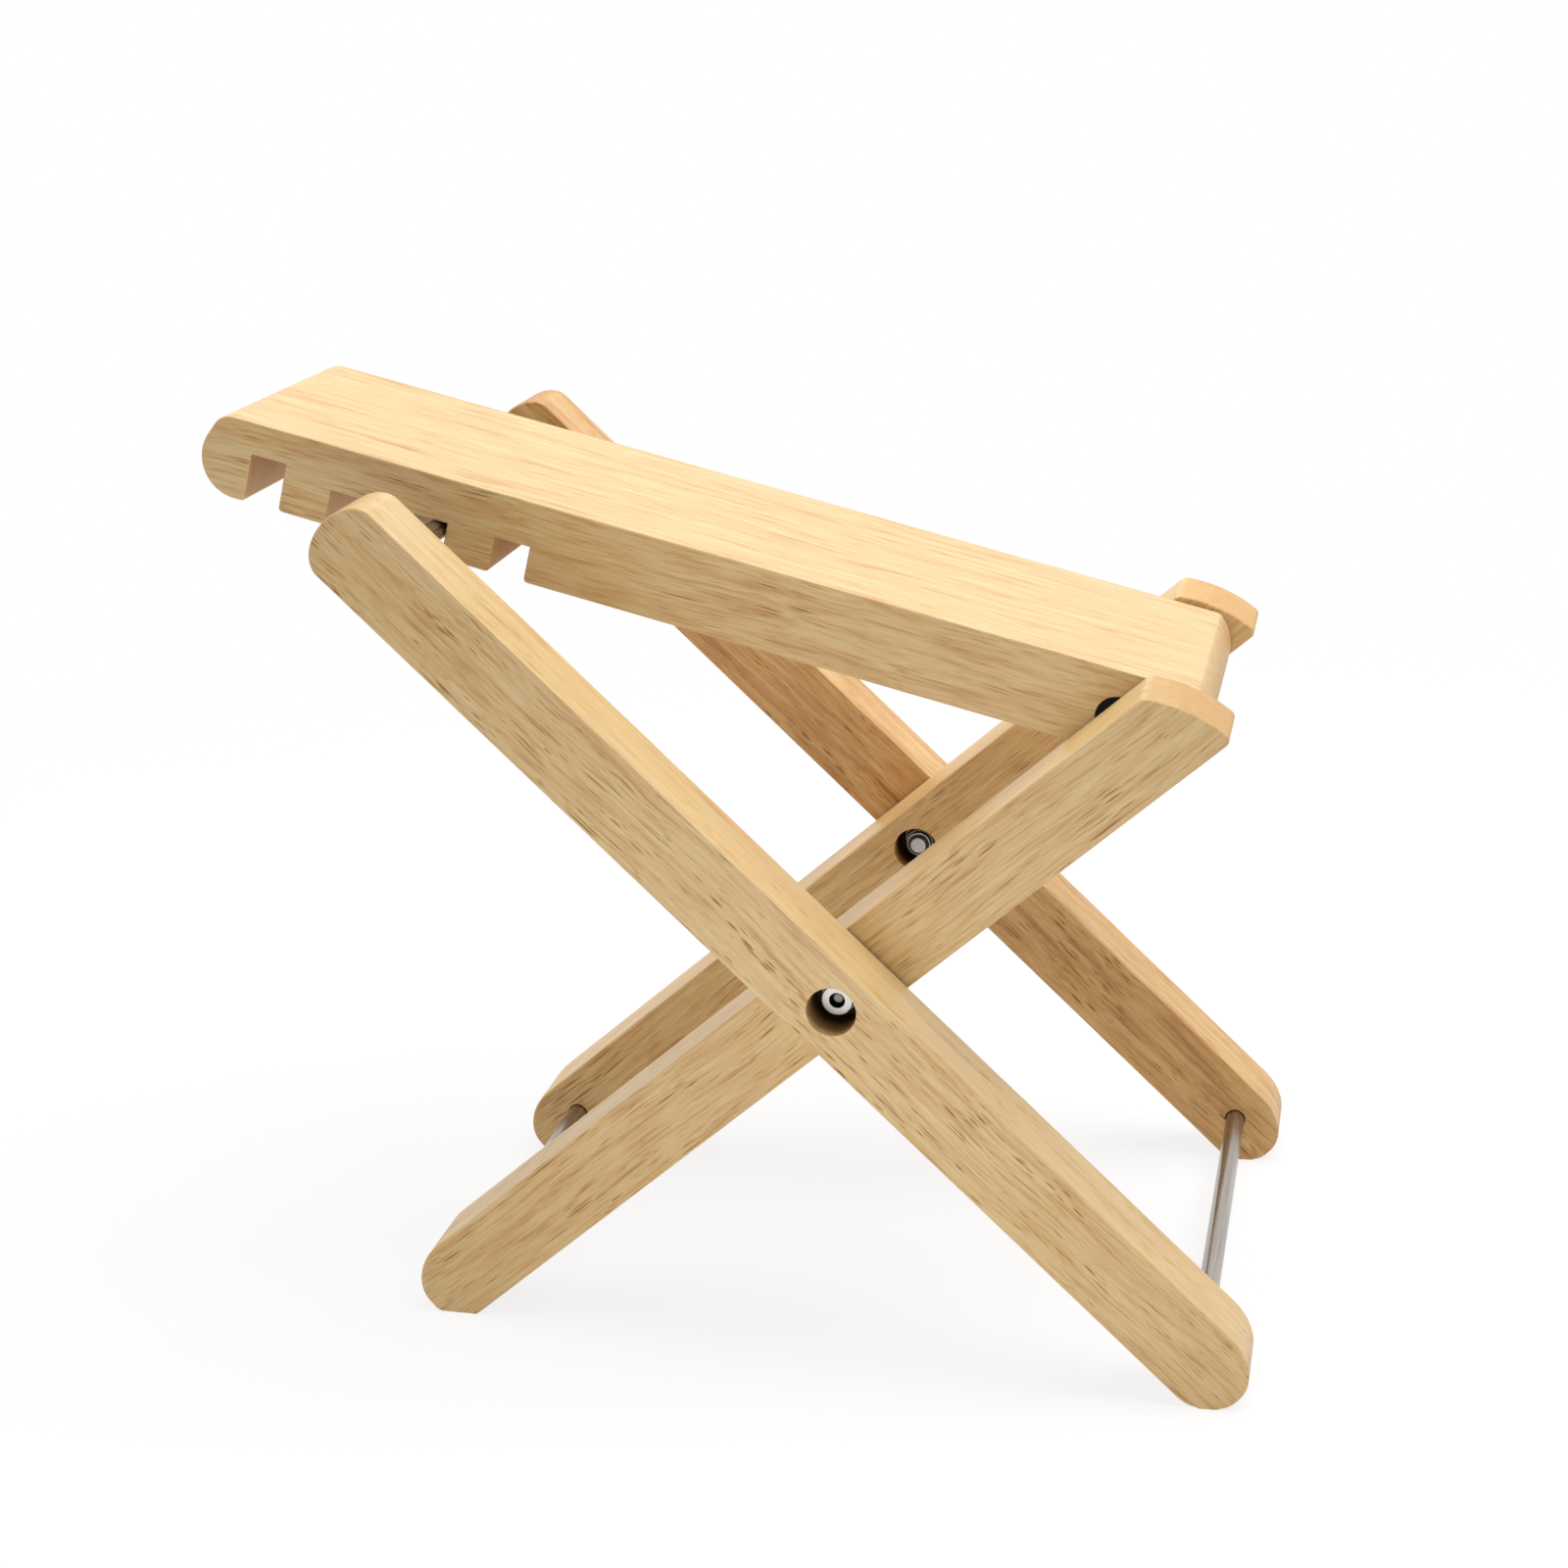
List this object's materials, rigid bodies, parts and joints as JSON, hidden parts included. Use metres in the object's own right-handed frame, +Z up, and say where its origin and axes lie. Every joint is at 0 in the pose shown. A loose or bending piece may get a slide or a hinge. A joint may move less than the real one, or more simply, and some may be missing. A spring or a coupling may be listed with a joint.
{
  "type": "folding guitar footrest",
  "caption": "Folding wooden guitar footrest: a sloping foot plate hinged on crossed legs, its notched underside resting on a steel rod between the outer legs",
  "frame": {"origin": "middle of the bounding box on the floor, with the footrest standing on its four feet", "axes": "+X along the plate towards its hinge at the low end, +Y across the plate, +Z up"},
  "size_m": [0.2518, 0.1518, 0.2225],
  "materials": {
    "pale_hardwood": "satin clear lacquer",
    "satin_steel": "satin, drawn rod",
    "zinc_steel": "zinc plated",
    "dark_nylon": "matte",
    "black_rubber": "matte"
  },
  "bodies": {
    "inner_frame": {"inner_leg_left": "pale_hardwood", "inner_leg_right": "pale_hardwood", "inner_stretcher_rod": "satin_steel", "hinge_rod": "satin_steel", "nut_washer_left": "zinc_steel", "nut_washer_right": "zinc_steel"},
    "outer_frame": {"outer_leg_left": "pale_hardwood", "outer_leg_right": "pale_hardwood", "support_rod": "satin_steel", "outer_stretcher_rod": "satin_steel", "pivot_bolt_left": "zinc_steel", "pivot_bolt_right": "zinc_steel", "head_washer_left": "zinc_steel", "head_washer_right": "zinc_steel", "leg_washer_left": "dark_nylon", "leg_washer_right": "dark_nylon", "lock_nut_left": "zinc_steel", "lock_nut_right": "zinc_steel", "nylon_insert_left": "dark_nylon", "nylon_insert_right": "dark_nylon"},
    "plate": {"foot_plate": "pale_hardwood", "side_buffer_left": "black_rubber", "side_buffer_right": "black_rubber"}
  },
  "joints": [
    {"name": "leg_spread", "type": "hinge", "parent": "inner_frame", "child": "outer_frame", "pos_m": [0.03148, 0, 0.09403], "axis": [0, -1, 0], "range_deg": [0, 81]},
    {"name": "plate_lift", "type": "hinge", "parent": "inner_frame", "child": "plate", "pos_m": [0.10124, 0, 0.15215], "axis": [0, 1, 0], "range_deg": [0, 100]}
  ]
}
